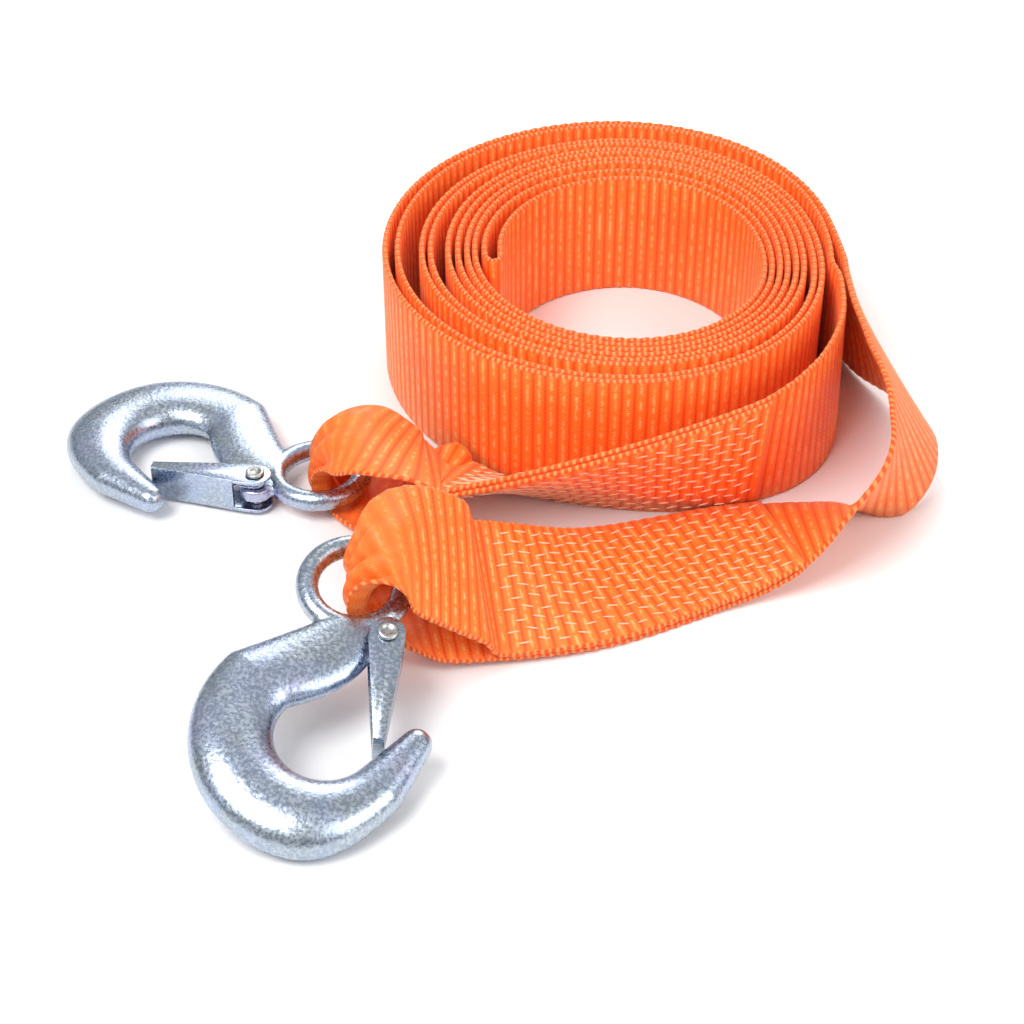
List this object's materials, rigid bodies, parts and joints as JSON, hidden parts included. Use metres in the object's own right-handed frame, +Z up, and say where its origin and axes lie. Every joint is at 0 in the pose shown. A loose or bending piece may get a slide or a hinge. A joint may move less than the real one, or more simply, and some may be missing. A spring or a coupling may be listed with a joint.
{
  "type": "cargo strap",
  "caption": "Tow and cargo strap: woven webbing folded double and rolled into a coil, with a forged safety-latch hook in a sewn loop at each end.",
  "frame": {"origin": "on the floor, under the middle of the strap as it lies", "axes": "+Z up along the coil's axis, -X towards the first hook, -Y towards the second hook"},
  "size_m": [0.3076, 0.3578, 0.0522],
  "materials": {
    "webbing": "orange woven polyester with a satin sheen",
    "forging": "bright zinc plate over a forged grain",
    "latch": "bright zinc plated sheet",
    "pin": "zinc plated rivet with a dull upset end",
    "spring": "drawn spring wire"
  },
  "bodies": {
    "strap": {"webbing": "webbing"},
    "hook_a": {"hook_a": "forging", "pin_a": "pin", "spring_a": "spring"},
    "latch_a": {"latch_a": "latch"},
    "hook_b": {"hook_b": "forging", "pin_b": "pin", "spring_b": "spring"},
    "latch_b": {"latch_b": "latch"}
  },
  "joints": [
    {"name": "hook_a_swing", "type": "hinge", "parent": "strap", "child": "hook_a", "pos_m": [-0.04877, -0.00477, 0.008], "axis": [0.1219, 0.9925, 0], "range_deg": [0, 24]},
    {"name": "latch_a_open", "type": "hinge", "parent": "hook_a", "child": "latch_a", "pos_m": [-0.08459, -0.01095, 0.008], "axis": [0, 0, -1], "range_deg": [0, 25], "stiffness_Nm_per_rad": 0.02, "springref_deg": -28.65, "deforming": ["spring_a"]},
    {"name": "hook_b_swing", "type": "hinge", "parent": "strap", "child": "hook_b", "pos_m": [-0.03023, -0.08906, 0.02892], "axis": [0, 0.9588, 0.284], "range_deg": [0, 12]},
    {"name": "latch_b_open", "type": "hinge", "parent": "hook_b", "child": "latch_b", "pos_m": [-0.03451, -0.10836, 0.02363], "axis": [-0.0958, 0.2827, -0.9544], "range_deg": [0, 25], "stiffness_Nm_per_rad": 0.02, "springref_deg": -28.65, "deforming": ["spring_b"]}
  ]
}
